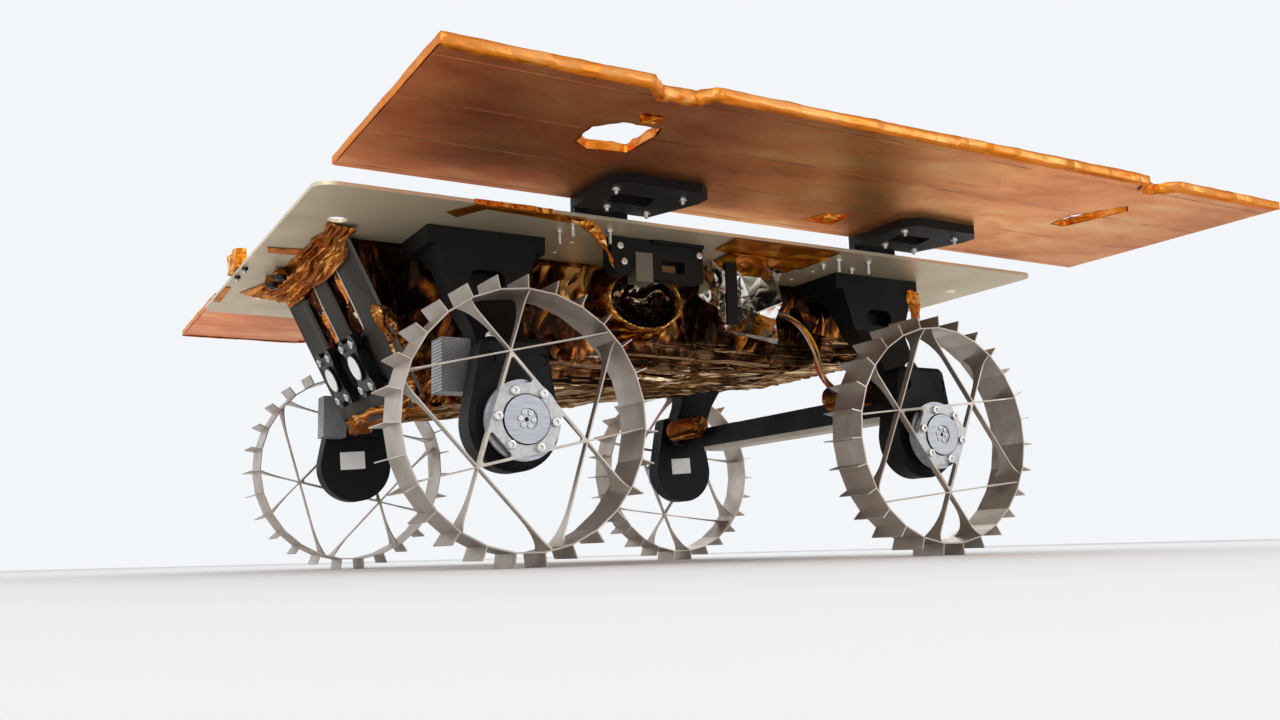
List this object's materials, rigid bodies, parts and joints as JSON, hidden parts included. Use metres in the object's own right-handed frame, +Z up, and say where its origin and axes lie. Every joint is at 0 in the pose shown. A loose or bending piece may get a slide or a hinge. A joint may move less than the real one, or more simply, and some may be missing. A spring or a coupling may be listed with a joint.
{
  "type": "planetary rover prototype",
  "caption": "Four-wheeled planetary rover prototype with grousered metal wheels, a film-wrapped body, stereo cameras and two folding solar panels.",
  "frame": {"origin": "on the floor, at the centre of the whole box", "axes": "+X forward, +Y to the rover's left, +Z up"},
  "size_m": [0.779, 0.938, 0.2985],
  "materials": {
    "bare_aluminium": "satin sheet",
    "amber_film": "crinkled amber film",
    "grey_sheet": "matte grey sheet",
    "black_anodised": "black anodised",
    "black_composite": "black woven composite",
    "pale_strip": "pale strip",
    "black_plastic": "moulded, matte",
    "silver_foil": "crumpled foil",
    "wheel_metal": "matte bare metal",
    "bright_aluminium": "brushed",
    "copper_film": "copper coloured film",
    "wire_insulation": "coloured wires",
    "solar_cell": "dark blue cells"
  },
  "bodies": {
    "chassis": {"top_plate": "bare_aluminium", "body_box": "amber_film", "side_port": "amber_film", "camera_bracket": "grey_sheet", "camera_left": "black_anodised", "camera_right": "black_anodised", "rear_axle_beam": "black_composite", "beam_strip": "pale_strip", "rear_motor_left": "amber_film", "rear_motor_right": "amber_film", "front_block_left": "grey_sheet", "front_block_right": "grey_sheet", "connector_bracket": "black_plastic", "connector_terminal": "pale_strip", "strap_bar": "black_plastic", "foil_unit": "silver_foil", "sensor_block": "amber_film", "harness": "wire_insulation", "leg_front_left": "black_plastic", "drive_front_left": "black_plastic", "leg_front_right": "black_plastic", "drive_front_right": "black_plastic", "leg_rear_left": "black_plastic", "drive_rear_left": "black_plastic", "leg_rear_right": "black_plastic", "drive_rear_right": "black_plastic", "hinge_base_left_front": "black_plastic", "hinge_base_left_rear": "black_plastic", "hinge_base_right_front": "black_plastic", "hinge_base_right_rear": "black_plastic"},
    "wheel_body_front_left": {"wheel_front_left": "wheel_metal", "hub_front_left": "bright_aluminium"},
    "wheel_body_front_right": {"wheel_front_right": "wheel_metal", "hub_front_right": "bright_aluminium"},
    "wheel_body_rear_left": {"wheel_rear_left": "wheel_metal", "hub_rear_left": "bright_aluminium"},
    "wheel_body_rear_right": {"wheel_rear_right": "wheel_metal", "hub_rear_right": "bright_aluminium"},
    "panel_body_left": {"panel_left": "copper_film", "cells_left": "solar_cell", "hinge_leaf_left_front": "black_plastic", "hinge_leaf_left_rear": "black_plastic"},
    "panel_body_right": {"panel_right": "copper_film", "cells_right": "solar_cell", "hinge_leaf_right_front": "black_plastic", "hinge_leaf_right_rear": "black_plastic"}
  },
  "joints": [
    {"name": "wheel_spin_front_left", "type": "hinge", "parent": "chassis", "child": "wheel_body_front_left", "pos_m": [0.2275, 0.2505, 0.10981], "axis": [0, 1, 0], "continuous": true},
    {"name": "wheel_spin_front_right", "type": "hinge", "parent": "chassis", "child": "wheel_body_front_right", "pos_m": [0.2275, -0.2505, 0.10981], "axis": [0, 1, 0], "continuous": true},
    {"name": "wheel_spin_rear_left", "type": "hinge", "parent": "chassis", "child": "wheel_body_rear_left", "pos_m": [-0.1885, 0.2505, 0.10981], "axis": [0, 1, 0], "continuous": true},
    {"name": "wheel_spin_rear_right", "type": "hinge", "parent": "chassis", "child": "wheel_body_rear_right", "pos_m": [-0.1885, -0.2505, 0.10981], "axis": [0, 1, 0], "continuous": true},
    {"name": "panel_fold_left", "type": "hinge", "parent": "chassis", "child": "panel_body_left", "pos_m": [0.0195, 0.236, 0.293], "axis": [1, 0, 0], "range_deg": [0, 180]},
    {"name": "panel_fold_right", "type": "hinge", "parent": "chassis", "child": "panel_body_right", "pos_m": [0.0195, -0.236, 0.293], "axis": [-1, 0, 0], "range_deg": [0, 180]}
  ]
}
